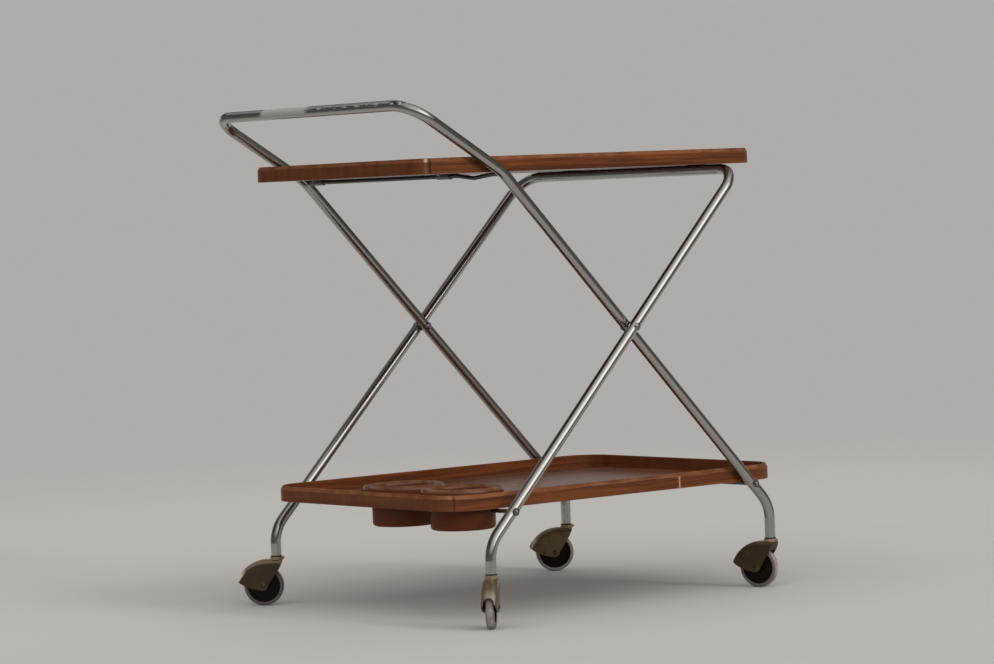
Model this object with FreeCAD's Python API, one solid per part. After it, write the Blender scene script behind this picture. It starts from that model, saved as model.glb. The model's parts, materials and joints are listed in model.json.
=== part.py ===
"""Folding serving trolley: two crossed tube frames, two rimmed trays, four hooded casters.

Frame: millimetres, +Z up. The origin lies on the floor, under the pivots on which the two
frames cross, midway between the trolley's sides. +X runs from the handle end to the front
end and +Y to the left of someone pushing it. Each node is one piece, written to parts/.
"""
import FreeCAD, Part
import math
import os

Vec = FreeCAD.Vector

# ---- Driving dimensions: frames ----
TUBE_D = 15.0                 # outside diameter of the frame tube
TUBE_WALL = 1.2
PIVOT_Z = 391.0               # height of the pivots where the frames cross
HANDLE_LEG_ANGLE = 46.4       # handle frame legs, from the floor, degrees
TABLE_LEG_ANGLE = 45.5        # table frame legs, from the floor, degrees
FRONT_STEM_X = 258.0          # upright foot of the handle frame
REAR_STEM_X = -276.0          # upright foot of the table frame
GRIP_X = -366.0               # handle bar
GRIP_Z = 707.0
GRIP_BEND_X = -211.0          # where the handle's arms bend away from the legs
TABLE_LEAN = 0.0142           # table frame legs come closer together upwards, mm per mm
FRAME_GAP = 1.0               # between the legs of the two frames, where they cross
CORNER_BEND_R = 40.0          # tube bends, on the centre line
ARM_BEND_R = 70.0
STEM_BEND_R = 50.0

# ---- Driving dimensions: trays ----
TRAY_LENGTH = 607.0
TRAY_WIDTH = 438.0
TRAY_CORNER_R = 53.0
TRAY_SIDE_GAP = 2.5           # tray rim to the handle frame's legs
RIM_HEIGHT = 21.5
RIM_THICKNESS = 6.5
RIM_BEVEL_DEPTH = 5.0         # steep bevel of the rim's outer top edge: down from its top
RIM_BEVEL_WIDTH = 2.6         # and in from its side
RIM_INNER_ROUND = 0.8
PANEL_THICKNESS = 4.0
SEAM_WIDTH = 1.2              # butt joint of the edging, at one corner
SEAM_DEPTH = 1.0
SEAM_ANGLE = 221.0            # where round the corner the joint stands, degrees
TOP_TRAY_Z = 613.5            # underside of the top tray
LOWER_TRAY_Z = 156.0          # underside of the lower tray
TOP_TRAY_OVERHANG = 117.6     # top tray, past its hinge wire at the handle end
LOWER_TRAY_OVERHANG = 70.1    # lower tray, past its hinge rod at the front end

# ---- Driving dimensions: rods, clips, rest hooks and rivets ----
ROD_D = 6.0
ROD_HEAD_D = 8.4
ROD_HEAD_HEIGHT = 3.2           # above its collar
ROD_COLLAR_D = 11.0
ROD_COLLAR_HEIGHT = 1.2
REST_GAP = 0.3                # rod or bar to what lies on it
RUN_CLEARANCE = 0.05          # radial, between a pin and the hole it turns in
WIRE_CRANK_DEPTH = 4.0        # dip of the hinge wire beside the right leg
WIRE_CRANK_START = 91.0       # distances in from the tray's right side
WIRE_CRANK_LOW = 56.0
WIRE_CRANK_END = 15.0
WIRE_BEND_R = 40.0
CLIP_WALL = 1.2
CLIP_FLANGE = 9.0
TOP_CLIP_LENGTH = 28.0
LOWER_CLIP_LENGTH = 15.0
TOP_CLIP_RIGHT_INSET = 121.0  # middles of the clips, in from the tray's sides
TOP_CLIP_LEFT_INSET = 21.0
LOWER_CLIP_INSET = 107.0
HOOK_LENGTH = 26.0
HOOK_WALL = 1.6
HOOK_FLANGE = 10.0
HOOK_INSET = 79.0             # middle of a hook, in from the tray's side
HOOK_START = 3.5              # the hook begins this far in front of the bar's middle
HOOK_LIP = 2.0                # and ends this far above it
HOOK_SCREW_PITCH = 14.0
REST_PEG_REACH = 14.0         # length of the lower tray's rest pegs under the tray
SCREW_D = 3.0
SCREW_HEAD_D = 6.0
SCREW_HEAD_HEIGHT = 1.6
SCREW_BITE = 3.0              # depth of a screw in the tray's panel
RIVET_D = 6.0
RIVET_HEAD_D = 11.0
RIVET_HEAD_HEIGHT = 2.4
PIVOT_FACE_D = 18.0           # flat faces pressed on the legs where they cross
PIVOT_FACE_DEPTH = 0.4
WASHER_D = 14.0
WASHER_GAP = 0.15             # washer to the leg that turns against it

# ---- Driving dimensions: bottle holders ----
HOLDER_INSET = 64.0           # centre, in from the tray's edges
HOLDER_PITCH = 132.0
HOLDER_COLLAR_R = 57.3
HOLDER_COLLAR_TOP = 28.0      # above the tray's underside
HOLDER_COLLAR_ROUND = 6.0
HOLDER_CUP_R = 45.0
HOLDER_DROP = 29.5            # below the tray's underside
HOLDER_WALL = 2.4
HOLDER_FOOT_ROUND = 5.0

# ---- Driving dimensions: casters ----
WHEEL_D = 58.0
TYRE_WIDTH = 12.0
TYRE_DEPTH = 5.0
TYRE_ROUND = 4.0
CORE_WEB = 6.0                # thickness of the wheel's disc
CORE_RIM_WIDTH = 10.0
CORE_RIM_DEPTH = 3.0
HUB_D = 13.0
HUB_GAP = 0.4                 # hub to the hood's cheeks
TRAIL = 19.5                  # axle behind the swivel axis
AXLE_D = 5.0
AXLE_HEAD_D = 8.0
AXLE_HEAD_HEIGHT = 1.4
HOOD_WIDTH = 22.0
HOOD_WALL = 2.0
HOOD_RISE = 38.0              # top of the hood above the axle
HOOD_CROWN_X = 13.0           # where the crown begins to fall, ahead of the swivel axis
HOOD_NOSE_FORWARD = 39.5      # nose ahead of the axle
HOOD_NOSE_RISE = 9.0          # nose above the axle
HOOD_SIDE_ROUND = 8.0
HOOD_ARCH_R = 7.5             # arch cut in the nose over the tyre
HOOD_BRIM_SAG = 3.5           # bulge of the cheek's lower edge
HOOD_EYE_DROP = 6.5           # cheek below, ahead of and behind the axle
HOOD_EYE_FRONT = 3.0
HOOD_EYE_REAR = 6.5
HOOD_REAR_DROP = 13.0         # rear wall of the hood, down from its top
HOOD_REAR_LEAN = 0.42         # forward lean of the rear wall
COLLAR_D = 18.0
COLLAR_HEIGHT = 3.4
COLLAR_KNOB_D = 4.0
COLLAR_KNOB_LENGTH = 3.0
SWIVEL_GAP = 0.3
SOCKET_FLANGE_D = 16.0
SOCKET_FLANGE = 1.6
SOCKET_LENGTH = 18.0
PINTLE_D = 7.0
PINTLE_HEAD_D = 9.5
PINTLE_HEAD = 2.5

# Each caster: name, frame it stands under, side (-1 right, +1 left), heading in degrees
CASTERS = (
    ("front_right", "handle", -1, 110.0),
    ("front_left", "handle", 1, 145.0),
    ("rear_right", "table", -1, 226.0),
    ("rear_left", "table", 1, 138.0),
)

# ---- Sizes that follow from the driving dimensions ----
TUBE_R = TUBE_D / 2
TUBE_BORE_R = TUBE_R - TUBE_WALL
ROD_R = ROD_D / 2
WHEEL_R = WHEEL_D / 2
HANDLE_Y = TRAY_WIDTH / 2 + TRAY_SIDE_GAP + TUBE_R      # handle frame's leg, centre line
TABLE_Y = HANDLE_Y + TUBE_D + FRAME_GAP                 # table frame's leg at the pivot
HANDLE_SLOPE = -math.tan(math.radians(HANDLE_LEG_ANGLE))
TABLE_SLOPE = math.tan(math.radians(TABLE_LEG_ANGLE))
AXLE_Z = WHEEL_R
HOOD_TOP_Z = AXLE_Z + HOOD_RISE
STEM_END_Z = HOOD_TOP_Z + COLLAR_HEIGHT + SWIVEL_GAP + SOCKET_FLANGE
TABLE_BAR_Z = TOP_TRAY_Z - REST_GAP - TUBE_R
WIRE_Z = TOP_TRAY_Z - REST_GAP - ROD_R
HINGE_ROD_Z = LOWER_TRAY_Z - REST_GAP - ROD_R
REST_PEG_Z = HINGE_ROD_Z


def on_handle_leg(z):
    """X of the handle frame's leg at height z."""
    return (z - PIVOT_Z) / HANDLE_SLOPE


def on_table_leg(z):
    """X of the table frame's leg at height z."""
    return (z - PIVOT_Z) / TABLE_SLOPE


def table_leg_y(z):
    """Distance of the table frame's leg from the trolley's middle at height z."""
    return TABLE_Y + TABLE_LEAN * (PIVOT_Z - z)


GRIP_BEND_Z = PIVOT_Z + HANDLE_SLOPE * GRIP_BEND_X
FRONT_STEM_TOP_Z = PIVOT_Z + HANDLE_SLOPE * FRONT_STEM_X
REAR_STEM_TOP_Z = PIVOT_Z + TABLE_SLOPE * REAR_STEM_X
TABLE_BAR_X = on_table_leg(TABLE_BAR_Z)
WIRE_X = on_handle_leg(WIRE_Z)
HINGE_ROD_X = on_handle_leg(HINGE_ROD_Z)
REST_PEG_X = on_table_leg(REST_PEG_Z)
REST_PEG_Y = table_leg_y(REST_PEG_Z)
REAR_STEM_Y = table_leg_y(REAR_STEM_TOP_Z)
TOP_TRAY_X = WIRE_X - TOP_TRAY_OVERHANG
LOWER_TRAY_X = HINGE_ROD_X + LOWER_TRAY_OVERHANG - TRAY_LENGTH
PANEL_HOLE_R = HOLDER_CUP_R + 0.5


# ---- Shapes ----
def cylinder_y(radius, start_y, end_y, x, z):
    """Cylinder along Y between two places."""
    low, high = sorted((start_y, end_y))
    return Part.makeCylinder(radius, high - low, Vec(x, low, z), Vec(0, 1, 0))


def dome_y(radius, height, x, y, z, side):
    """Domed head that stands on the plane y and rises towards side."""
    sphere_r = (radius ** 2 + height ** 2) / (2 * height)
    ball = Part.makeSphere(sphere_r, Vec(x, y + side * (height - sphere_r), z))
    keep = cylinder_y(radius + 1, y, y + side * (height + 1), x, z)
    return ball.common(keep)


def bent_path(points, bend_radii):
    """Straight runs and bends of a path: ("run", start, end) and ("bend", start, ...)."""
    pieces = []
    start = points[0]
    for corner, following, radius in zip(points[1:-1], points[2:], bend_radii):
        inward = (corner - start).normalize()
        outward = (following - corner).normalize()
        turn = math.acos(max(-1.0, min(1.0, inward.dot(outward))))
        tangent = radius * math.tan(turn / 2)
        bend_start = corner - inward * tangent
        bend_end = corner + outward * tangent
        axis = inward.cross(outward).normalize()
        centre = bend_start + axis.cross(inward) * radius
        pieces.append(("run", start, bend_start))
        pieces.append(("bend", bend_start, inward, centre, axis, math.degrees(turn)))
        start = bend_end
    pieces.append(("run", start, points[-1]))
    return pieces


def ring_face(radius, bore_radius, place, direction):
    """Flat disc, or ring where there is a bore, across a direction."""
    disc = Part.Face(Part.Wire(Part.makeCircle(radius, place, direction)))
    if not bore_radius:
        return disc
    return disc.cut(Part.Face(Part.Wire(Part.makeCircle(bore_radius, place, direction)))).Faces[0]


def bent_bar(points, bend_radii, radius, bore_radius=0):
    """Round bar or tube along a path of straight runs and tangent bends."""
    solids = []
    for piece in bent_path(points, bend_radii):
        if piece[0] == "run":
            start, end = piece[1:]
            solids.append(ring_face(radius, bore_radius, start, end - start).extrude(end - start))
        else:
            start, direction, centre, axis, turn = piece[1:]
            solids.append(ring_face(radius, bore_radius, start, direction).revolve(centre, axis, turn))
    return solids[0].fuse(solids[1:]).removeSplitter()


def rounded_plate(x_low, x_high, half_width, corner_r, z_low, height):
    """Flat plate with rounded corners, centred on Y."""
    plate = Part.makeBox(x_high - x_low, 2 * half_width, height, Vec(x_low, -half_width, z_low))
    upright = [e for e in plate.Edges if abs(e.tangentAt(e.FirstParameter).z) > 0.9]
    return plate.makeFillet(corner_r, upright)


def revolved(points_and_arcs, base, axis):
    """Solid of revolution from a closed outline of (radius, height) points.

    A pair of points is a straight side. A triple is an arc through its middle point.
    """
    edges = []
    for item in points_and_arcs:
        corners = [base + Vec(p[0], 0, p[1]) for p in item]
        if len(corners) == 2:
            edges.append(Part.makeLine(*corners))
        else:
            edges.append(Part.Arc(*corners).toShape())
    return Part.Face(Part.Wire(edges)).revolve(base, axis, 360)


# ---- Frames ----
def pivot_face(leg_y, sign):
    """What the flat face at the pivot takes off a leg, on its side at leg_y."""
    start = leg_y - sign * PIVOT_FACE_DEPTH
    return cylinder_y(PIVOT_FACE_D / 2, start, leg_y + sign, 0, PIVOT_Z)


def handle_frame():
    """Inner frame: feet at the front, legs, arms and the handle bar in one tube."""
    def side(sign):
        y = sign * HANDLE_Y
        return [
            Vec(FRONT_STEM_X, y, STEM_END_Z),
            Vec(FRONT_STEM_X, y, FRONT_STEM_TOP_Z),
            Vec(GRIP_BEND_X, y, GRIP_BEND_Z),
            Vec(GRIP_X, y, GRIP_Z),
        ]
    path = side(-1) + side(1)[::-1]
    radii = [STEM_BEND_R, ARM_BEND_R, CORNER_BEND_R, CORNER_BEND_R, ARM_BEND_R, STEM_BEND_R]
    tube = bent_bar(path, radii, TUBE_R, TUBE_BORE_R)
    inner_wall = HANDLE_Y - TUBE_R
    for sign in (-1, 1):
        tube = tube.cut(cylinder_y(ROD_R, sign * (inner_wall - 1), sign * HANDLE_Y, WIRE_X, WIRE_Z))
        tube = tube.cut(cylinder_y(ROD_R, sign * (inner_wall - 1), sign * (HANDLE_Y + TUBE_D),
                                   HINGE_ROD_X, HINGE_ROD_Z))
        tube = tube.cut(cylinder_y(RIVET_D / 2 + RUN_CLEARANCE, sign * (inner_wall - 1),
                                   sign * (HANDLE_Y + TUBE_D), 0, PIVOT_Z))
        tube = tube.cut(pivot_face(sign * (HANDLE_Y + TUBE_R), sign))
    return tube


def table_frame():
    """Outer frame: feet at the rear, legs and the bar under the top tray in one tube."""
    def side(sign):
        return [
            Vec(REAR_STEM_X, sign * REAR_STEM_Y, STEM_END_Z),
            Vec(REAR_STEM_X, sign * REAR_STEM_Y, REAR_STEM_TOP_Z),
            Vec(TABLE_BAR_X, sign * table_leg_y(TABLE_BAR_Z), TABLE_BAR_Z),
        ]
    path = side(-1) + side(1)[::-1]
    radii = [STEM_BEND_R, CORNER_BEND_R, CORNER_BEND_R, STEM_BEND_R]
    tube = bent_bar(path, radii, TUBE_R, TUBE_BORE_R)
    for sign in (-1, 1):
        tube = tube.cut(cylinder_y(ROD_R, sign * (REST_PEG_Y - TUBE_D), sign * (REST_PEG_Y + TUBE_D),
                                   REST_PEG_X, REST_PEG_Z))
        tube = tube.cut(cylinder_y(RIVET_D / 2, sign * (TABLE_Y - TUBE_D),
                                   sign * (TABLE_Y + TUBE_D), 0, PIVOT_Z))
        tube = tube.cut(pivot_face(sign * (TABLE_Y - TUBE_R), -sign))
    return tube


def rod_head(x, y, z, side):
    """Domed head on a round collar, seated on a leg's outer side at y."""
    step = y + side * ROD_COLLAR_HEIGHT
    collar = cylinder_y(ROD_COLLAR_D / 2, y, step, x, z)
    return [collar, dome_y(ROD_HEAD_D / 2, ROD_HEAD_HEIGHT, x, step, z, side)]


def headed_rod(leg_y, x, z):
    """Cross rod through both legs of a frame, with a head on each outer side."""
    end = leg_y + TUBE_R
    rod = cylinder_y(ROD_R, -end, end, x, z)
    return rod.fuse(rod_head(x, end, z, 1) + rod_head(x, -end, z, -1)).removeSplitter()


def rest_peg(sign):
    """Headed peg through a leg of the table frame, for the lower tray's edge to rest on."""
    end = sign * (REST_PEG_Y + TUBE_R)
    peg = cylinder_y(ROD_R, sign * (TRAY_WIDTH / 2 - REST_PEG_REACH), end, REST_PEG_X, REST_PEG_Z)
    return peg.fuse(rod_head(REST_PEG_X, end, REST_PEG_Z, sign)).removeSplitter()


def hinge_wire():
    """Wire that the top tray hangs on, sprung into the legs, with a crank at its right end."""
    end = HANDLE_Y + math.sqrt(TUBE_BORE_R ** 2 - ROD_R ** 2) - REST_GAP
    low_z = WIRE_Z - WIRE_CRANK_DEPTH
    right = -TRAY_WIDTH / 2
    path = [
        Vec(WIRE_X, end, WIRE_Z),
        Vec(WIRE_X, right + WIRE_CRANK_START, WIRE_Z),
        Vec(WIRE_X, right + WIRE_CRANK_LOW, low_z),
        Vec(WIRE_X, right + WIRE_CRANK_END, WIRE_Z),
        Vec(WIRE_X, -end, WIRE_Z),
    ]
    return bent_bar(path, [WIRE_BEND_R] * 3, ROD_R)


def pivot_rivet(sign):
    """Rivet through a leg of each frame, fast in the outer leg."""
    outer = TABLE_Y + TUBE_R
    inner = HANDLE_Y - TUBE_R - WASHER_GAP
    rivet = cylinder_y(RIVET_D / 2, sign * inner, sign * outer, 0, PIVOT_Z)
    rivet = rivet.fuse(dome_y(RIVET_HEAD_D / 2, RIVET_HEAD_HEIGHT, 0, sign * outer, PIVOT_Z, sign))
    rivet = rivet.fuse(dome_y(RIVET_HEAD_D / 2, RIVET_HEAD_HEIGHT, 0, sign * inner, PIVOT_Z, -sign))
    return rivet.removeSplitter()


def pivot_washer(sign):
    """Washer between the two legs."""
    start = HANDLE_Y + TUBE_R - PIVOT_FACE_DEPTH + WASHER_GAP
    end = TABLE_Y - TUBE_R + PIVOT_FACE_DEPTH
    disc = cylinder_y(WASHER_D / 2, sign * start, sign * end, 0, PIVOT_Z)
    return disc.cut(cylinder_y(RIVET_D / 2, sign * (start - 1), sign * (end + 1), 0, PIVOT_Z))


# ---- Trays ----
def tray_rim(x_low, z_low):
    """Edging round a tray, bevelled along its top, with a butt joint at one corner."""
    x_high = x_low + TRAY_LENGTH
    outer = rounded_plate(x_low, x_high, TRAY_WIDTH / 2, TRAY_CORNER_R, z_low, RIM_HEIGHT)
    top = z_low + RIM_HEIGHT
    outer = outer.makeChamfer(RIM_BEVEL_DEPTH, RIM_BEVEL_WIDTH, edges_at(outer, top))
    inner = rounded_plate(x_low + RIM_THICKNESS, x_high - RIM_THICKNESS,
                          TRAY_WIDTH / 2 - RIM_THICKNESS, TRAY_CORNER_R - RIM_THICKNESS,
                          z_low, RIM_HEIGHT)
    rim = outer.cut(inner)
    inner_edges = [e for e in edges_at(rim, top)
                   if abs(e.BoundBox.Center.y) < TRAY_WIDTH / 2
                   and e.distToShape(inner)[0] < 1e-6]
    rim = rim.makeFillet(RIM_INNER_ROUND, inner_edges)
    corner = Vec(x_low + TRAY_CORNER_R, -TRAY_WIDTH / 2 + TRAY_CORNER_R, z_low)
    seam = Part.makeBox(SEAM_DEPTH + 1, SEAM_WIDTH, RIM_HEIGHT,
                        Vec(TRAY_CORNER_R - SEAM_DEPTH, -SEAM_WIDTH / 2, 0))
    seam.rotate(Vec(), Vec(0, 0, 1), SEAM_ANGLE)
    seam.translate(corner)
    return rim.cut(seam)


def edges_at(shape, z):
    """Edges that lie wholly in the plane z."""
    return [e for e in shape.Edges
            if abs(e.BoundBox.ZMin - z) < 1e-4 and abs(e.BoundBox.ZMax - z) < 1e-4]


def tray_panel(x_low, z_low):
    """Board inside the rim."""
    return rounded_plate(x_low + RIM_THICKNESS, x_low + TRAY_LENGTH - RIM_THICKNESS,
                         TRAY_WIDTH / 2 - RIM_THICKNESS, TRAY_CORNER_R - RIM_THICKNESS,
                         z_low, PANEL_THICKNESS)


def holder_centres():
    """Centres of the two bottle holders in the lower tray."""
    x = LOWER_TRAY_X + HOLDER_INSET
    y = -TRAY_WIDTH / 2 + HOLDER_INSET
    return (("right", x, y), ("left", x, y + HOLDER_PITCH))


def bottle_holder(x, y):
    """Moulded cup with a raised round collar that lies on the tray."""
    wall = HOLDER_WALL
    collar = HOLDER_COLLAR_R
    bend = HOLDER_COLLAR_ROUND
    foot = HOLDER_FOOT_ROUND
    top = HOLDER_COLLAR_TOP
    base = PANEL_THICKNESS
    cup = HOLDER_CUP_R
    mouth = collar - 2 * bend - wall
    half = math.sqrt(0.5)
    outline = [
        ((collar, base), (collar, top - bend)),
        ((collar, top - bend), (collar - bend * (1 - half), top - bend * (1 - half)),
         (collar - bend, top)),
        ((collar - bend, top), (collar - bend - wall, top)),
        ((collar - bend - wall, top), (mouth + bend * (1 - half), top - bend * (1 - half)),
         (mouth, top - bend)),
        ((mouth, top - bend), (cup - wall, -HOLDER_DROP + wall + foot)),
        ((cup - wall, -HOLDER_DROP + wall + foot),
         (cup - wall - foot * (1 - half), -HOLDER_DROP + wall + foot * (1 - half)),
         (cup - wall - foot, -HOLDER_DROP + wall)),
        ((cup - wall - foot, -HOLDER_DROP + wall), (0, -HOLDER_DROP + wall)),
        ((0, -HOLDER_DROP + wall), (0, -HOLDER_DROP)),
        ((0, -HOLDER_DROP), (cup - foot, -HOLDER_DROP)),
        ((cup - foot, -HOLDER_DROP), (cup - foot * (1 - half), -HOLDER_DROP + foot * (1 - half)),
         (cup, -HOLDER_DROP + foot)),
        ((cup, -HOLDER_DROP + foot), (cup, base)),
        ((cup, base), (collar, base)),
    ]
    return revolved(outline, Vec(x, y, LOWER_TRAY_Z), Vec(0, 0, 1))


def hinge_clip(x, y, rod_z, tray_z, length):
    """Strap that carries a tray on the rod it turns about, with a flange on each side."""
    bore_r = ROD_R + RUN_CLEARANCE
    outer_r = bore_r + CLIP_WALL
    half = outer_r + CLIP_FLANGE
    flange = Part.makeBox(2 * half, length, CLIP_WALL, Vec(x - half, y - length / 2, tray_z - CLIP_WALL))
    body = Part.makeBox(2 * outer_r, length, tray_z - rod_z, Vec(x - outer_r, y - length / 2, rod_z))
    body = body.fuse([cylinder_y(outer_r, y - length / 2, y + length / 2, x, rod_z), flange])
    slot = Part.makeBox(2 * bore_r, length + 2, tray_z - rod_z + 1, Vec(x - bore_r, y - length / 2 - 1, rod_z))
    bore = cylinder_y(bore_r, y - length / 2 - 1, y + length / 2 + 1, x, rod_z)
    clip = body.cut(slot).cut(bore)
    for hole_x in clip_screw_places(x):
        clip = clip.cut(Part.makeCylinder(SCREW_D / 2, CLIP_WALL + 2, Vec(hole_x, y, tray_z - CLIP_WALL - 1)))
    return clip.removeSplitter()


def clip_screw_places(x):
    """X of the two screws of a hinge clip."""
    reach = ROD_R + RUN_CLEARANCE + CLIP_WALL + CLIP_FLANGE / 2
    return (x - reach, x + reach)


def rest_hook(x, y, bar_z, tray_z):
    """Strap under a tray that hooks over the front of the bar the tray rests on."""
    bore_r = TUBE_R + REST_GAP
    outer_r = bore_r + HOOK_WALL
    start_y = y - HOOK_LENGTH / 2
    low = bar_z + HOOK_LIP
    curl = cylinder_y(outer_r, start_y, start_y + HOOK_LENGTH, x, bar_z)
    front = Part.makeBox(outer_r, HOOK_LENGTH, tray_z - low, Vec(x + HOOK_START, start_y, low))
    flange = Part.makeBox(outer_r - HOOK_START + HOOK_FLANGE, HOOK_LENGTH, HOOK_WALL,
                          Vec(x + HOOK_START, start_y, tray_z - HOOK_WALL))
    bore = cylinder_y(bore_r, start_y - 1, start_y + HOOK_LENGTH + 1, x, bar_z)
    hook = curl.common(front).fuse(flange).cut(bore)
    for hole_x, hole_y in hook_screw_places(x, y):
        hole = Part.makeCylinder(SCREW_D / 2, HOOK_WALL + 2, Vec(hole_x, hole_y, tray_z - HOOK_WALL - 1))
        hook = hook.cut(hole)
    return hook.removeSplitter()


def hook_screw_places(x, y):
    """Places of the two screws of a rest hook."""
    screw_x = x + TUBE_R + REST_GAP + HOOK_WALL + HOOK_FLANGE / 2
    return ((screw_x, y - HOOK_SCREW_PITCH / 2), (screw_x, y + HOOK_SCREW_PITCH / 2))


def screw(x, y, seat_z, tray_z):
    """Round-headed screw, driven up into the tray's panel."""
    shank = Part.makeCylinder(SCREW_D / 2, tray_z + SCREW_BITE - seat_z, Vec(x, y, seat_z))
    head_r = SCREW_HEAD_D / 2
    ball_r = (head_r ** 2 + SCREW_HEAD_HEIGHT ** 2) / (2 * SCREW_HEAD_HEIGHT)
    ball = Part.makeSphere(ball_r, Vec(x, y, seat_z - SCREW_HEAD_HEIGHT + ball_r))
    head = ball.common(Part.makeCylinder(head_r, SCREW_HEAD_HEIGHT + 1, Vec(x, y, seat_z - SCREW_HEAD_HEIGHT - 1)))
    return shank.fuse(head).removeSplitter()


def hinge_clips(prefix, tray_z, hinge_x, hinge_z, clips, length):
    """Hinge clips of one tray with their screws, and the places of the screws."""
    nodes = {}
    screws = []
    places = []
    for side, y in clips:
        nodes[prefix + "_clip_" + side] = hinge_clip(hinge_x, y, hinge_z, tray_z, length)
        for x in clip_screw_places(hinge_x):
            screws.append(screw(x, y, tray_z - CLIP_WALL, tray_z))
            places.append((x, y))
    nodes[prefix + "_clip_screws"] = Part.makeCompound(screws)
    return nodes, places


def rest_hooks(prefix, tray_z, bar_x, bar_z, hooks):
    """Rest hooks of one tray with their screws, and the places of the screws."""
    nodes = {}
    screws = []
    places = []
    for side, y in hooks:
        nodes[prefix + "_hook_" + side] = rest_hook(bar_x, y, bar_z, tray_z)
        for screw_x, screw_y in hook_screw_places(bar_x, y):
            screws.append(screw(screw_x, screw_y, tray_z - HOOK_WALL, tray_z))
            places.append((screw_x, screw_y))
    nodes[prefix + "_hook_screws"] = Part.makeCompound(screws)
    return nodes, places


def drilled(panel, places, tray_z):
    """Panel with a hole for each screw."""
    holes = [Part.makeCylinder(SCREW_D / 2, SCREW_BITE + 1, Vec(x, y, tray_z - 1)) for x, y in places]
    return panel.cut(holes)


def in_from_sides(right_inset, left_inset):
    """Y of a piece near each side of a tray, from its distances in from the sides."""
    half = TRAY_WIDTH / 2
    return (("right", right_inset - half), ("left", half - left_inset))


def top_tray():
    """Nodes of the top tray, hinged on the wire and resting on the table frame's bar."""
    clips = in_from_sides(TOP_CLIP_RIGHT_INSET, TOP_CLIP_LEFT_INSET)
    nodes, places = hinge_clips("top_tray", TOP_TRAY_Z, WIRE_X, WIRE_Z, clips, TOP_CLIP_LENGTH)
    hooks = in_from_sides(HOOK_INSET, HOOK_INSET)
    hook_nodes, hook_places = rest_hooks("top_tray", TOP_TRAY_Z, TABLE_BAR_X, TABLE_BAR_Z, hooks)
    nodes.update(hook_nodes)
    panel = tray_panel(TOP_TRAY_X, TOP_TRAY_Z)
    nodes["top_tray_panel"] = drilled(panel, places + hook_places, TOP_TRAY_Z)
    nodes["top_tray_rim"] = tray_rim(TOP_TRAY_X, TOP_TRAY_Z)
    return nodes


def lower_tray():
    """Nodes of the lower tray, hinged on the front rod, its edges resting on the pegs."""
    clips = in_from_sides(LOWER_CLIP_INSET, LOWER_CLIP_INSET)
    nodes, places = hinge_clips("lower_tray", LOWER_TRAY_Z, HINGE_ROD_X, HINGE_ROD_Z,
                                clips, LOWER_CLIP_LENGTH)
    panel = drilled(tray_panel(LOWER_TRAY_X, LOWER_TRAY_Z), places, LOWER_TRAY_Z)
    for side, x, y in holder_centres():
        panel = panel.cut(Part.makeCylinder(PANEL_HOLE_R, PANEL_THICKNESS + 2, Vec(x, y, LOWER_TRAY_Z - 1)))
        nodes["bottle_holder_" + side] = bottle_holder(x, y)
    nodes["lower_tray_panel"] = panel
    nodes["lower_tray_rim"] = tray_rim(LOWER_TRAY_X, LOWER_TRAY_Z)
    return nodes


# ---- Casters, built at the origin with the wheel towards +X ----
def caster_socket():
    """Sleeve in the end of the frame tube that the caster's pintle turns in."""
    sleeve = Part.makeCylinder(TUBE_BORE_R, SOCKET_LENGTH, Vec(0, 0, STEM_END_Z))
    flange = Part.makeCylinder(SOCKET_FLANGE_D / 2, SOCKET_FLANGE, Vec(0, 0, STEM_END_Z - SOCKET_FLANGE))
    bore = Part.makeCylinder(PINTLE_D / 2 + RUN_CLEARANCE, SOCKET_LENGTH + SOCKET_FLANGE + 2,
                             Vec(0, 0, STEM_END_Z - SOCKET_FLANGE - 1))
    return sleeve.fuse(flange).cut(bore).removeSplitter()


def caster_pintle():
    """Headed pin that joins the hood to the socket."""
    seat = HOOD_TOP_Z - HOOD_WALL
    top = STEM_END_Z + SOCKET_LENGTH - 2
    pin = Part.makeCylinder(PINTLE_D / 2, top - seat, Vec(0, 0, seat))
    head = Part.makeCylinder(PINTLE_HEAD_D / 2, PINTLE_HEAD, Vec(0, 0, seat - PINTLE_HEAD))
    return pin.fuse(head).removeSplitter()


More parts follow.
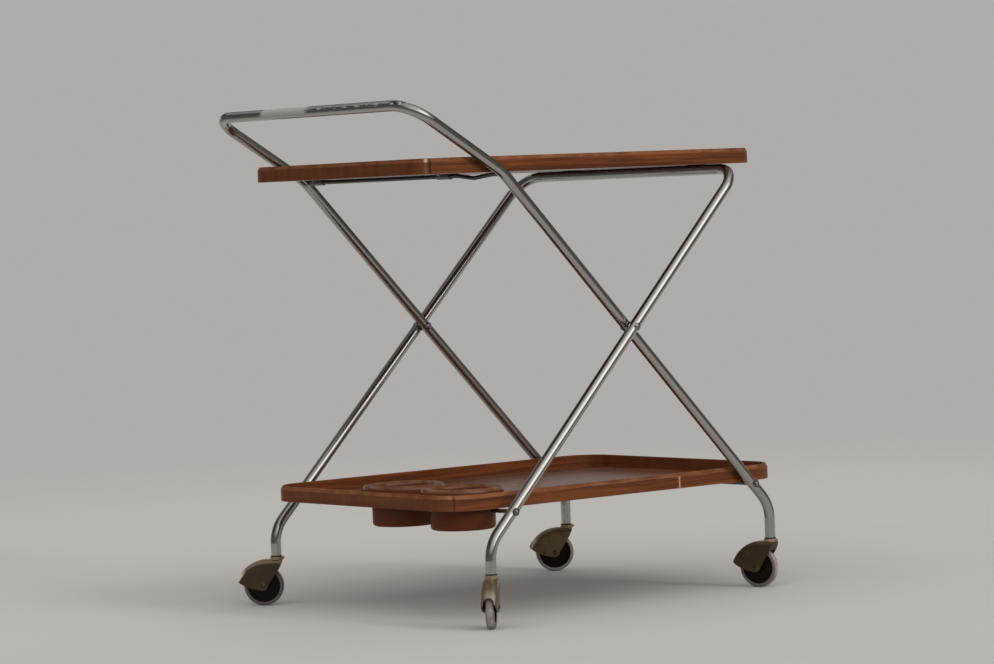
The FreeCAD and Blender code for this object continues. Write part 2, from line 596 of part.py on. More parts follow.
def hood_outline(inset):
    """Side view of the hood, or of its hollow when inset, as edges in the plane y = 0."""
    top = HOOD_TOP_Z - inset
    nose_x = TRAIL + HOOD_NOSE_FORWARD
    nose_z = AXLE_Z + HOOD_NOSE_RISE
    fall = HOOD_TOP_Z - nose_z
    crown_r = ((nose_x - HOOD_CROWN_X) ** 2 + fall ** 2) / (2 * fall)
    centre = Vec(HOOD_CROWN_X, 0, HOOD_TOP_Z - crown_r)
    spoke = Vec(nose_x, 0, nose_z) - centre
    nose = centre + spoke * (1 - inset / crown_r)
    half_angle = math.atan2(spoke.x, spoke.z) / 2
    middle = centre + Vec(math.sin(half_angle), 0, math.cos(half_angle)) * (crown_r - inset)
    back_x = -COLLAR_D / 2 + inset * math.hypot(1, HOOD_REAR_LEAN)
    rear_z = HOOD_TOP_Z - HOOD_REAR_DROP
    rear_x = back_x + (top - rear_z) * HOOD_REAR_LEAN
    crown = [
        Part.makeLine(Vec(back_x, 0, top), Vec(HOOD_CROWN_X, 0, top)),
        Part.Arc(Vec(HOOD_CROWN_X, 0, top), middle, nose).toShape(),
    ]
    if inset:
        below = AXLE_Z - 3 * HOOD_EYE_DROP
        behind = rear_x - 2 * HOOD_REAR_DROP
        corners = [nose, Vec(nose.x, 0, below), Vec(behind, 0, below), Vec(behind, 0, rear_z),
                   Vec(rear_x, 0, rear_z), Vec(back_x, 0, top)]
        return crown + [Part.makeLine(a, b) for a, b in zip(corners, corners[1:])]
    eye_front = Vec(TRAIL + HOOD_EYE_FRONT, 0, AXLE_Z - HOOD_EYE_DROP)
    eye_rear = Vec(TRAIL - HOOD_EYE_REAR, 0, AXLE_Z)
    eye_bend = Vec(math.cos(math.radians(225)), 0, math.sin(math.radians(225))) * HOOD_EYE_DROP
    brim_middle = (nose + eye_front) * 0.5 - Vec(0, 0, HOOD_BRIM_SAG)
    return crown + [
        Part.Arc(nose, brim_middle, eye_front).toShape(),
        Part.Arc(eye_front, Vec(TRAIL, 0, AXLE_Z) + eye_bend, eye_rear).toShape(),
        Part.makeLine(eye_rear, Vec(rear_x, 0, rear_z)),
        Part.makeLine(Vec(rear_x, 0, rear_z), Vec(back_x, 0, top)),
    ]


def hood_solid(inset):
    """Hood, or its hollow when inset: the side view made solid and rounded over the top."""
    width = HOOD_WIDTH - 2 * inset
    side = Part.Face(Part.Wire(hood_outline(inset)))
    side.translate(Vec(0, -width / 2, 0))
    solid = side.extrude(Vec(0, width, 0))
    rounded = [e for e in solid.Edges
               if e.BoundBox.YLength < 0.01
               and e.BoundBox.ZMax > HOOD_TOP_Z - inset - 0.01
               and e.BoundBox.XMax > HOOD_CROWN_X - 0.01]
    return solid.makeFillet(HOOD_SIDE_ROUND - inset, rounded)


def caster_hood():
    """Hood with its cheeks, the collar under the socket and the knob behind it."""
    nose_x = TRAIL + HOOD_NOSE_FORWARD
    nose_z = AXLE_Z + HOOD_NOSE_RISE
    arch = Part.makeCylinder(HOOD_ARCH_R, HOOD_NOSE_FORWARD, Vec(nose_x, 0, nose_z), Vec(1, 0, 0))
    arch.translate(Vec(-HOOD_NOSE_FORWARD / 2, 0, 0))
    hood = hood_solid(0).cut(hood_solid(HOOD_WALL)).cut(arch)
    collar = Part.makeCylinder(COLLAR_D / 2, COLLAR_HEIGHT + HOOD_WALL, Vec(0, 0, HOOD_TOP_Z - HOOD_WALL))
    knob_z = HOOD_TOP_Z + COLLAR_HEIGHT / 2
    knob_start = -COLLAR_D / 2 + COLLAR_KNOB_D / 2
    knob = Part.makeCylinder(COLLAR_KNOB_D / 2, COLLAR_KNOB_LENGTH, Vec(knob_start, 0, knob_z), Vec(-1, 0, 0))
    tip = Part.makeSphere(COLLAR_KNOB_D / 2, Vec(knob_start - COLLAR_KNOB_LENGTH, 0, knob_z))
    hood = hood.fuse([collar, knob, tip])
    hood = hood.cut(Part.makeCylinder(PINTLE_D / 2, COLLAR_HEIGHT + 2 * HOOD_WALL + 2,
                                      Vec(0, 0, HOOD_TOP_Z - 2 * HOOD_WALL)))
    hood = hood.cut(cylinder_y(AXLE_D / 2, -HOOD_WIDTH, HOOD_WIDTH, TRAIL, AXLE_Z))
    return hood.removeSplitter()


def caster_axle():
    """Riveted axle through both cheeks."""
    end = HOOD_WIDTH / 2
    axle = cylinder_y(AXLE_D / 2, -end, end, TRAIL, AXLE_Z)
    for sign in (-1, 1):
        axle = axle.fuse(dome_y(AXLE_HEAD_D / 2, AXLE_HEAD_HEIGHT, TRAIL, sign * end, AXLE_Z, sign))
    return axle.removeSplitter()


def caster_wheel():
    """Wheel core: hub, disc and the rim that the tyre sits on."""
    tyre_seat = WHEEL_R - TYRE_DEPTH
    hub_half = HOOD_WIDTH / 2 - HOOD_WALL - HUB_GAP
    disc = cylinder_y(tyre_seat - CORE_RIM_DEPTH / 2, -CORE_WEB / 2, CORE_WEB / 2, TRAIL, AXLE_Z)
    hub = cylinder_y(HUB_D / 2, -hub_half, hub_half, TRAIL, AXLE_Z)
    rim = cylinder_y(tyre_seat, -CORE_RIM_WIDTH / 2, CORE_RIM_WIDTH / 2, TRAIL, AXLE_Z)
    rim = rim.cut(cylinder_y(tyre_seat - CORE_RIM_DEPTH, -CORE_RIM_WIDTH, CORE_RIM_WIDTH, TRAIL, AXLE_Z))
    wheel = disc.fuse([hub, rim])
    bore_r = AXLE_D / 2 + RUN_CLEARANCE
    return wheel.cut(cylinder_y(bore_r, -HOOD_WIDTH, HOOD_WIDTH, TRAIL, AXLE_Z)).removeSplitter()


def caster_tyre():
    """Tyre with rounded shoulders."""
    tyre = cylinder_y(WHEEL_R, -TYRE_WIDTH / 2, TYRE_WIDTH / 2, TRAIL, AXLE_Z)
    shoulders = [e for e in tyre.Edges if e.BoundBox.YLength < 0.01]
    tyre = tyre.makeFillet(TYRE_ROUND, shoulders)
    return tyre.cut(cylinder_y(WHEEL_R - TYRE_DEPTH, -TYRE_WIDTH, TYRE_WIDTH, TRAIL, AXLE_Z))


def casters():
    """Nodes of the four casters, each turned to its heading under its foot."""
    pieces = {
        "socket": caster_socket(),
        "pintle": caster_pintle(),
        "hood": caster_hood(),
        "axle": caster_axle(),
        "wheel": caster_wheel(),
        "tyre": caster_tyre(),
    }
    nodes = {}
    for name, frame, side, heading in CASTERS:
        x = FRONT_STEM_X if frame == "handle" else REAR_STEM_X
        y = side * (HANDLE_Y if frame == "handle" else REAR_STEM_Y)
        for piece, shape in pieces.items():
            turned = shape.copy()
            turned.rotate(Vec(), Vec(0, 0, 1), heading)
            turned.translate(Vec(x, y, 0))
            nodes["caster_" + piece + "_" + name] = turned
    return nodes


def build_nodes():
    """Every node of the trolley by name."""
    nodes = {
        "handle_frame": handle_frame(),
        "table_frame": table_frame(),
        "top_tray_hinge_wire": hinge_wire(),
        "lower_tray_hinge_rod": headed_rod(HANDLE_Y, HINGE_ROD_X, HINGE_ROD_Z),
    }
    for side, sign in (("right", -1), ("left", 1)):
        nodes["pivot_rivet_" + side] = pivot_rivet(sign)
        nodes["pivot_washer_" + side] = pivot_washer(sign)
        nodes["lower_tray_rest_peg_" + side] = rest_peg(sign)
    nodes.update(top_tray())
    nodes.update(lower_tray())
    nodes.update(casters())
    return nodes


os.makedirs("parts", exist_ok=True)
for node_name, node_shape in build_nodes().items():
    node_shape.exportStep("parts/" + node_name + ".step")
    print(node_name, len(node_shape.Solids), round(node_shape.Volume, 1), node_shape.isValid())
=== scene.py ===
"""Dresses the folding serving trolley: its plating, wood grain, casters and studio."""
import json
import math

import bmesh
import bpy
from mathutils import Matrix, Vector


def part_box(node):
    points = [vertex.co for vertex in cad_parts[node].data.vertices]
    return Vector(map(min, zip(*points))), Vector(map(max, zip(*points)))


bl_info = {
    "name": "Folding Serving Trolley",
    "version": (1, 0, 0),
    "blender": (4, 5, 0),
    "location": "View3D > Sidebar > Trolley",
    "description": "Builds the finishes and the studio of a folding serving trolley",
    "category": "Object",
}

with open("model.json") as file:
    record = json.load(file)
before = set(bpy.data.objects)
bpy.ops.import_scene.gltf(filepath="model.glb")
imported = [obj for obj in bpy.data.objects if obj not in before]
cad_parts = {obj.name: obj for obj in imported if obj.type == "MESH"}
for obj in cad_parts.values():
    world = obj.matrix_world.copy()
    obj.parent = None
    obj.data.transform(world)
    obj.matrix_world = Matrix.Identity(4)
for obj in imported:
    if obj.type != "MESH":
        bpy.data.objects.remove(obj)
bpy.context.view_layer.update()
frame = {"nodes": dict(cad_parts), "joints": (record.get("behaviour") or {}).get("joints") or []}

# ---- Places of wear and of painted highlights, in metres; a pair gives where a soft edge begins and where it is full ----
GRIP_BACK_X = (-0.345, -0.355)      # back of the handle bar
GRIP_TOP_Z = (0.7045, 0.7062)       # upper side of the handle bar
PATCH_MIDDLE_Y = 0.049              # middle of the grip's bare patch
PATCH_EDGE = (0.084, 0.074)         # edge of the patch, out from its middle
DASH_LINE_Z = 0.7095                # height of the line of pale dashes
DASH_EDGE = (0.0026, 0.0012)        # edge of that line, out from its middle
DASH_END_Y = (0.06, 0.0)            # where the line ends, inside the patch
RIM_CORNER = 0.053                  # radius of a rim's corners
JOINT_ANGLE = math.radians(221)     # where a rim's butt joint stands round its corner
JOINT_REACH = 0.04                  # its marks lie further out than this from the corner's middle
JOINT_EDGE = (0.0026, 0.0008)       # edge of its dark line, out from the line's middle
BARE_EDGE_OFFSET = 0.0062           # the bare edge lies this far to the joint's handle side
BARE_EDGE_SPAN = (0.0046, 0.0028)   # edge of the bare edge, out from its middle
BARE_TOP_Z = (-0.0066, -0.0044)     # from the rim's top: barest above this
BARE_CREST_Z = (-0.0004, -0.0016)   # from the rim's top: less bare above this
CHIP_X = 0.0965                     # middle of the lower rim's chip
CHIP_Z = (0.157, 0.173)             # its bottom and top
CHIP_HALF_WIDTH = 0.0019            # half its width at the middle
CHIP_FLARE = 0.0016                 # how much wider each side is at the ends
CHIP_RAGGED = 0.0010                # how deep its edge is broken
RIGHT_SIDE_Y = -0.2                 # a rim's right side lies beyond this
HOLDER_LIP_Z = (0.1785, 0.1835)     # lip of the bottle holders
COLLAR_FOOT_Z = (0.0655, 0.0668)    # foot of the collar on a hood
NOSE_REACH = (0.043, 0.054)         # a hood's nose, out from its swivel axis

# ---- Colours of wear, dirt and bare material, and of painted highlights and sheen ----
PIT = (0.10, 0.08, 0.06)
BARE_STEEL = (0.52, 0.49, 0.455)
METAL_DUST = (0.40, 0.37, 0.33)
AXLE_STEEL = (0.11, 0.085, 0.06)
SCRATCHED_WOOD = (0.34, 0.21, 0.14)
WOOD_DUST = (0.30, 0.22, 0.17)
CHIPPED_WOOD = (0.38, 0.20, 0.115)
# painted sheen on the rims' top bevel
BEVEL_SHEEN = (0.215, 0.085, 0.036)
DARK_NICK = (0.035, 0.012, 0.005)
JOINT_LINE = (0.048, 0.012, 0.005)
BARE_EDGE = (0.50, 0.33, 0.25)
WORN_TREAD = (0.30, 0.262, 0.242)
# painted highlight on the bottle holders' lip
LIP_HIGHLIGHT = (0.165, 0.072, 0.032)
PLASTIC_DUST = (0.34, 0.30, 0.27)
SOCKET_BLACK = (0.012, 0.010, 0.009)
# paler brass of a hood's collar, also its painted highlight along the crown
COLLAR_AND_SHEEN_BRASS = (0.30, 0.225, 0.145)
# painted highlight at a hood's nose
NOSE_GLINT = (0.80, 0.72, 0.60)
BRASS_PIT = (0.03, 0.02, 0.012)
BRASS_DUST = (0.30, 0.26, 0.21)

# ---- How each caster has aged, and how strong the painted highlights on its hood's crown and nose are, from 0 to 1 ----
CASTERS = {
    "front_right": {"tarnish": 0.75, "crown_highlight": 0.18, "nose_highlight": 0.0, "grime": 0.2},
    "front_left": {"tarnish": 0.22, "crown_highlight": 1.0, "nose_highlight": 1.0, "grime": 0.65},
    "rear_right": {"tarnish": 0.25, "crown_highlight": 0.34, "nose_highlight": 0.2, "grime": 0.4},
    "rear_left": {"tarnish": 0.85, "crown_highlight": 0.6, "nose_highlight": 1.0, "grime": 0.1},
}

# ---- Directions of the lamps, and their spread in degrees ----
KEY_LAMP = ((0.22, -0.91, 0.352), 12)
FILL_LAMP = ((-1.7, -0.65, 1.6), 105)
BACK_LAMP = ((0.9, 1.3, 0.8), 100)
WINDOW_TOWARD = (0.173, -0.890, 0.423)


# ---- Settings that a user would change ----
class TrolleyFinish(bpy.types.PropertyGroup):
    plate_color: bpy.props.FloatVectorProperty(
        name="Plating", description="Colour of the frames' plating",
        subtype="COLOR", size=3, min=0, max=1, default=(0.44, 0.43, 0.405))
    plate_wear: bpy.props.FloatProperty(
        name="Plating wear", description="How far the plating is pitted and dulled",
        subtype="FACTOR", min=0, max=1, default=0.14)
    wood_light: bpy.props.FloatVectorProperty(
        name="Light grain", description="Light colour of the trays' wood grain",
        subtype="COLOR", size=3, min=0, max=1, default=(0.158, 0.045, 0.011))
    wood_dark: bpy.props.FloatVectorProperty(
        name="Dark grain", description="Dark colour of the trays' wood grain",
        subtype="COLOR", size=3, min=0, max=1, default=(0.060, 0.0135, 0.003))
    holder_color: bpy.props.FloatVectorProperty(
        name="Bottle holders", description="Colour of the moulded bottle holders",
        subtype="COLOR", size=3, min=0, max=1, default=(0.088, 0.022, 0.006))
    hood_color: bpy.props.FloatVectorProperty(
        name="Hoods", description="Colour of the caster hoods' plating",
        subtype="COLOR", size=3, min=0, max=1, default=(0.190, 0.132, 0.070))
    hood_tarnish: bpy.props.FloatVectorProperty(
        name="Tarnish", description="Colour of the tarnish on the caster hoods",
        subtype="COLOR", size=3, min=0, max=1, default=(0.046, 0.029, 0.013))
    tyre_color: bpy.props.FloatVectorProperty(
        name="Tyres", description="Colour of the rubber tyres",
        subtype="COLOR", size=3, min=0, max=1, default=(0.085, 0.068, 0.059))
    disc_color: bpy.props.FloatVectorProperty(
        name="Wheel discs", description="Colour of the moulded wheel discs",
        subtype="COLOR", size=3, min=0, max=1, default=(0.0075, 0.0032, 0.0012))
    dust_amount: bpy.props.FloatProperty(
        name="Dust", description="How much dust lies on surfaces that face up",
        subtype="FACTOR", min=0, max=1, default=0.16)


class TrolleyStage(bpy.types.PropertyGroup):
    floor_color: bpy.props.FloatVectorProperty(
        name="Floor", description="Colour of the floor",
        subtype="COLOR", size=3, min=0, max=1, default=(0.475, 0.458, 0.437))
    backdrop_color: bpy.props.FloatVectorProperty(
        name="Backdrop", description="Colour behind the trolley, which the floor fades into",
        subtype="COLOR", size=3, min=0, max=1, default=(0.43, 0.415, 0.395))
    room_color: bpy.props.FloatVectorProperty(
        name="Room", description="Colour of the studio beside the trolley; it is darker above",
        subtype="COLOR", size=3, min=0, max=1, default=(0.125, 0.120, 0.113))
    glow_color: bpy.props.FloatVectorProperty(
        name="Front glow", description="Colour of the soft light high on the camera's side",
        subtype="COLOR", size=3, min=0, max=1, default=(0.90, 0.885, 0.86))
    window_strength: bpy.props.FloatProperty(
        name="Window", description="How much brighter the middle of the front glow is",
        min=0, default=1.3)
    fade_start: bpy.props.FloatProperty(
        name="Fade start", description="How far out the floor begins to fade into the backdrop",
        subtype="DISTANCE", min=0, default=0.9)
    fade_end: bpy.props.FloatProperty(
        name="Fade end", description="Where the floor has become the backdrop",
        subtype="DISTANCE", min=0, default=3.6)
    key_strength: bpy.props.FloatProperty(
        name="Key light", description="Strength of the main light, in watts a square metre",
        min=0, default=1.0)
    fill_strength: bpy.props.FloatProperty(
        name="Fill light",
        description="Strength of the light from the handle end, in watts a square metre",
        min=0, default=1.75)
    back_strength: bpy.props.FloatProperty(
        name="Back light",
        description="Strength of the light from behind, in watts a square metre",
        min=0, default=0.65)
    camera_place: bpy.props.FloatVectorProperty(
        name="Camera place", description="Where the camera stands",
        subtype="TRANSLATION", size=3, default=(-3.35570, -4.10314, 0.58297))
    camera_yaw: bpy.props.FloatProperty(
        name="Camera yaw", description="Direction of view, from +X towards +Y",
        subtype="ANGLE", default=math.radians(51.1249))
    camera_pitch: bpy.props.FloatProperty(
        name="Camera pitch", description="How far the view points down",
        subtype="ANGLE", default=math.radians(2.1487))
    camera_roll: bpy.props.FloatProperty(
        name="Camera roll", description="Turn of the camera about its view",
        subtype="ANGLE", default=math.radians(2.3754))
    focal_length: bpy.props.FloatProperty(
        name="Focal length", description="Lens, for a picture 36 mm wide, in mm",
        min=1, default=132.967)


# ---- Node building ----
class NodeSheet:
    """A node tree with short calls for adding and joining nodes."""

    def __init__(self, tree):
        self.tree = tree
        self.count = 0

    def add(self, kind, inputs=(), **settings):
        node = self.tree.nodes.new(kind)
        self.count += 1
        node.location = (-220 * (self.count // 6), -180 * (self.count % 6))
        for name, value in settings.items():
            setattr(node, name, value)
        for key, value in dict(inputs).items():
            self.feed(node.inputs[key], value)
        return node

    def feed(self, socket, value):
        if isinstance(value, bpy.types.NodeSocket):
            self.tree.links.new(value, socket)
        elif isinstance(value, (tuple, list)) and socket.type == "RGBA" and len(value) == 3:
            socket.default_value = (*value, 1)
        else:
            socket.default_value = value

    def place(self):
        """Where a point lies on the trolley."""
        return self.add("ShaderNodeTexCoord").outputs["Object"]

    def normal(self):
        """Which way the surface faces on the trolley, as its three parts."""
        return self.split(self.add("ShaderNodeTexCoord").outputs["Normal"])

    def split(self, vector):
        return self.add("ShaderNodeSeparateXYZ", {0: vector}).outputs[:3]

    def vector(self, operation, first, second=(0.0, 0.0, 0.0)):
        return self.add("ShaderNodeVectorMath", {0: first, 1: second}, operation=operation).outputs

    def dot(self, vector, direction):
        return self.vector("DOT_PRODUCT", vector, direction)["Value"]

    def stretched(self, vector, x, y, z):
        return self.vector("MULTIPLY", vector, (x, y, z))[0]

    def math(self, operation, first, second=0.0, clamp=False):
        inputs = {0: first, 1: second}
        return self.add("ShaderNodeMath", inputs, operation=operation, use_clamp=clamp).outputs[0]

    def plus(self, first, second):
        return self.math("ADD", first, second)

    def minus(self, first, second):
        return self.math("SUBTRACT", first, second)

    def times(self, first, *others):
        for other in others:
            first = self.math("MULTIPLY", first, other)
        return first

    def away(self, value, middle):
        """How far a value is from this middle, on either side."""
        return self.math("ABSOLUTE", self.minus(value, middle))

    def ramp(self, value, low, high, to_low=0.0, to_high=1.0):
        inputs = {"Value": value, "From Min": low, "From Max": high,
                  "To Min": to_low, "To Max": to_high}
        node = self.add("ShaderNodeMapRange", inputs, interpolation_type="SMOOTHSTEP")
        return node.outputs["Result"]

    def blend(self, factor, first, second, mode="MIX"):
        node = self.add("ShaderNodeMix", data_type="RGBA", blend_type=mode)
        self.feed(node.inputs["Factor"], factor)
        self.feed(node.inputs[6], first)
        self.feed(node.inputs[7], second)
        return node.outputs[2]

    def noise(self, coordinate, scale, detail=4.0, roughness=0.55, distortion=0.0):
        inputs = {"Vector": coordinate, "Scale": scale, "Detail": detail,
                  "Roughness": roughness, "Distortion": distortion}
        return self.add("ShaderNodeTexNoise", inputs).outputs["Fac"]


def scaled(color, factor):
    return tuple(part * factor for part in color)


def shader_group(name, inputs, outputs):
    """New shader node group with these named sockets, and its sheet and end nodes."""
    group = bpy.data.node_groups.new(name, "ShaderNodeTree")
    for label, kind, default in inputs:
        socket = group.interface.new_socket(name=label, in_out="INPUT", socket_type=kind)
        if default is not None:
            socket.default_value = default
    for label in outputs:
        kind = "NodeSocketColor" if label == "Color" else "NodeSocketFloat"
        group.interface.new_socket(name=label, in_out="OUTPUT", socket_type=kind)
    sheet = NodeSheet(group)
    start = sheet.add("NodeGroupInput").outputs
    end = sheet.add("NodeGroupOutput").inputs
    return group, sheet, start, end


def dust_group():
    """Soft dust on what faces up."""
    group, sheet, start, end = shader_group(
        "Settled dust",
        [("Amount", "NodeSocketFloat", 0.3), ("Patch size", "NodeSocketFloat", 14.0)],
        ["Mask"])
    facing = sheet.ramp(sheet.normal()[2], 0.3, 1.0)
    patches = sheet.ramp(sheet.noise(sheet.place(), start["Patch size"], 6.0, 0.6), 0.35, 0.75)
    covered = sheet.times(facing, patches)
    sheet.feed(end["Mask"], sheet.math("MULTIPLY", covered, start["Amount"], clamp=True))
    return group


def speckle_group():
    """Small pits and stains on plated metal, thicker in some places than in others."""
    group, sheet, start, end = shader_group(
        "Plating pits",
        [("Pit size", "NodeSocketFloat", 1300.0), ("Amount", "NodeSocketFloat", 0.5)],
        ["Pits", "Stain", "Smear"])
    place = sheet.place()
    cells = sheet.add("ShaderNodeTexVoronoi", {"Vector": place, "Scale": start["Pit size"]})
    cluster = sheet.ramp(sheet.noise(place, 22.0, 5.0, 0.65), 0.42, 0.7)
    reach = sheet.times(cluster, start["Amount"])
    pits = sheet.math("LESS_THAN", cells.outputs["Distance"], sheet.times(reach, 0.42))
    stains = sheet.ramp(sheet.noise(place, 55.0, 8.0, 0.7), 0.5, 0.8)
    sheet.feed(end["Pits"], pits)
    sheet.feed(end["Stain"], sheet.times(stains, reach))
    sheet.feed(end["Smear"], sheet.noise(place, 120.0, 3.0, 0.5))
    return group


def grain_group():
    """Wood grain that runs along one direction: broad bands, fine streaks and short pores."""
    group, sheet, start, end = shader_group(
        "Wood grain",
        [("Place", "NodeSocketVector", None), ("Light", "NodeSocketColor", None),
         ("Dark", "NodeSocketColor", None), ("Band width", "NodeSocketFloat", 1.0)],
        ["Color", "Pores", "Sheen"])
    place = start["Place"]
    width = start["Band width"]
    bands = sheet.noise(place, width, 3.0, 0.5, 0.6)
    streaks = sheet.noise(sheet.stretched(place, 1.0, 6.0, 6.0), width, 5.0, 0.6, 0.3)
    pores = sheet.noise(sheet.stretched(place, 5.0, 42.0, 42.0), width, 2.0, 0.5)
    pores = sheet.ramp(pores, 0.56, 0.68)
    mixed = sheet.plus(sheet.times(bands, 0.55), sheet.times(streaks, 0.45))
    color = sheet.blend(sheet.ramp(mixed, 0.36, 0.62), start["Dark"], start["Light"])
    sheet.feed(end["Color"], sheet.blend(sheet.times(pores, 0.42), color, start["Dark"]))
    sheet.feed(end["Pores"], pores)
    sheet.feed(end["Sheen"], streaks)
    return group


def scuff_group():
    """Fine crossing scratches on a worn surface."""
    group, sheet, start, end = shader_group(
        "Scuffs", [("Amount", "NodeSocketFloat", 0.5)], ["Mask"])
    place = sheet.place()
    first = sheet.noise(sheet.stretched(place, 30.0, 900.0, 900.0), 1.0, 2.0)
    second = sheet.noise(sheet.stretched(place, 700.0, 45.0, 700.0), 1.0, 2.0)
    lines = sheet.math("MAXIMUM", sheet.ramp(first, 0.66, 0.72), sheet.ramp(second, 0.68, 0.74))
    area = sheet.ramp(sheet.noise(place, 9.0), 0.45, 0.7)
    sheet.feed(end["Mask"], sheet.times(lines, area, start["Amount"]))
    return group


GROUP_MAKERS = {
    "Settled dust": dust_group,
    "Plating pits": speckle_group,
    "Wood grain": grain_group,
    "Scuffs": scuff_group,
}


def effect(sheet, name, **inputs):
    """Places a shared effect in a material and returns its outputs."""
    group = bpy.data.node_groups.get(name) or GROUP_MAKERS[name]()
    node = sheet.add("ShaderNodeGroup", node_tree=group)
    for key, value in inputs.items():
        sheet.feed(node.inputs[key.replace("_", " ")], value)
    return node.outputs


def new_material(name, metallic=0.0, **sockets):
    """Material with a Principled BSDF and its sheet."""
    material = bpy.data.materials.new(name)
    material.use_nodes = True
    nodes = material.node_tree.nodes
    nodes.clear()
    sheet = NodeSheet(material.node_tree)
    shader = sheet.add("ShaderNodeBsdfPrincipled")
    end = sheet.add("ShaderNodeOutputMaterial", {"Surface": shader.outputs[0]})
    end.location = (300, 0)
    shader.inputs["Metallic"].default_value = metallic
    for key, value in sockets.items():
        sheet.feed(shader.inputs[key.replace("_", " ")], value)
    return material, sheet, shader


def bump(sheet, shader, height, strength, distance):
    """Feeds a height through a Bump node to the shader's normal."""
    inputs = {"Height": height, "Strength": strength, "Distance": distance}
    node = sheet.add("ShaderNodeBump", inputs)
    sheet.feed(shader.inputs["Normal"], node.outputs["Normal"])


# ---- Finishes ----
def plating(name, color, wear, base_roughness, worn_grip=False):
    """Bright plating on steel, pitted and stained, with dust on top."""
    material, sheet, shader = new_material(name, metallic=1.0)
    marks = effect(sheet, "Plating pits", Amount=wear)
    dust = effect(sheet, "Settled dust", Amount=0.2, Patch_size=9.0)["Mask"]
    shade = sheet.blend(marks["Stain"], color, scaled(color, 0.42))
    shade = sheet.blend(marks["Pits"], shade, PIT)
    roughness = sheet.ramp(marks["Smear"], 0.3, 0.7, base_roughness, base_roughness + 0.07)
    roughness = sheet.plus(roughness, sheet.times(marks["Stain"], 0.35))
    metal = sheet.minus(1.0, sheet.times(marks["Pits"], 0.7))
    if worn_grip:
        bare = grip_wear(sheet)
        shade = sheet.blend(bare, shade, BARE_STEEL)
        roughness = sheet.plus(roughness, sheet.times(bare, 0.32))
        metal = sheet.minus(metal, sheet.times(bare, 0.55))
    shade = sheet.blend(dust, shade, METAL_DUST)
    sheet.feed(shader.inputs["Base Color"], shade)
    sheet.feed(shader.inputs["Roughness"], sheet.plus(roughness, sheet.times(dust, 0.5)))
    sheet.feed(shader.inputs["Metallic"], metal)
    bump(sheet, shader, sheet.minus(1.0, marks["Pits"]), 0.2, 0.0001)
    return material


def grip_wear(sheet):
    """Bare patch and a line of pale dashes on the handle bar."""
    place = sheet.place()
    x, y, z = sheet.split(place)
    ragged = sheet.times(sheet.noise(place, 110.0, 6.0, 0.75), 0.05)
    patch = sheet.ramp(sheet.plus(sheet.away(y, PATCH_MIDDLE_Y), ragged), *PATCH_EDGE)
    on_top = sheet.ramp(sheet.plus(z, sheet.times(ragged, 0.03)), *GRIP_TOP_Z)
    patch = sheet.times(patch, on_top)
    dashes = sheet.noise(sheet.stretched(place, 260.0, 70.0, 420.0), 1.0, 4.0, 0.7)
    line = sheet.ramp(sheet.away(z, DASH_LINE_Z), *DASH_EDGE)
    dashes = sheet.times(sheet.ramp(dashes, 0.53, 0.58), line, sheet.ramp(y, *DASH_END_Y))
    return sheet.times(sheet.math("MAXIMUM", patch, dashes), sheet.ramp(x, *GRIP_BACK_X))


def grain_along(sheet):
    """Coordinates stretched so that the grain runs along a tray."""
    return sheet.stretched(sheet.place(), 1.6, 22.0, 22.0)


def grain_round(sheet):
    """Coordinates stretched so that the grain runs round a tray's rim."""
    x, y, z = sheet.split(sheet.place())
    run = sheet.times(sheet.plus(x, y), 2.6)
    gentle = sheet.times(sheet.minus(x, y), 2.2)
    inputs = {"X": run, "Y": sheet.times(z, 150.0), "Z": gentle}
    return sheet.add("ShaderNodeCombineXYZ", inputs).outputs[0]


def wood(name, finish, roughness, coat, dust_amount, rim=None, bare_joint=0.0, chipped=False):
    """Wood-grain laminate under a clear face, with scuffs and dust.

    Given a rim's node, it is that rim's edging, with this much bare wood at the butt joint.
    """
    material, sheet, shader = new_material(name, Coat_Roughness=0.18, Specular_IOR_Level=0.22)
    light, dark = tuple(finish.wood_light), tuple(finish.wood_dark)
    place = grain_round(sheet) if rim else grain_along(sheet)
    grain = effect(sheet, "Wood grain", Place=place, Light=light, Dark=dark, Band_width=1.0)
    shade = grain["Color"]
    if rim:
        shade = edging_figure(sheet, shade, light, dark)
    dust = effect(sheet, "Settled dust", Amount=dust_amount, Patch_size=7.0)["Mask"]
    scuffs = effect(sheet, "Scuffs", Amount=0.3)["Mask"]
    shade = sheet.blend(scuffs, shade, SCRATCHED_WOOD)
    shade = sheet.blend(dust, shade, WOOD_DUST)
    if rim:
        shade = joint_marks(sheet, shade, rim, bare_joint)
    if chipped:
        shade = sheet.blend(chip_mask(sheet), shade, CHIPPED_WOOD)
    rough = sheet.ramp(grain["Sheen"], 0.3, 0.7, roughness, roughness + 0.1)
    rough = sheet.plus(rough, sheet.times(scuffs, 0.3))
    sheet.feed(shader.inputs["Base Color"], shade)
    sheet.feed(shader.inputs["Roughness"], sheet.plus(rough, sheet.times(dust, 0.4)))
    shader.inputs["Coat Weight"].default_value = coat
    bump(sheet, shader, sheet.minus(1.0, grain["Pores"]), 0.12, 0.0002)
    return material


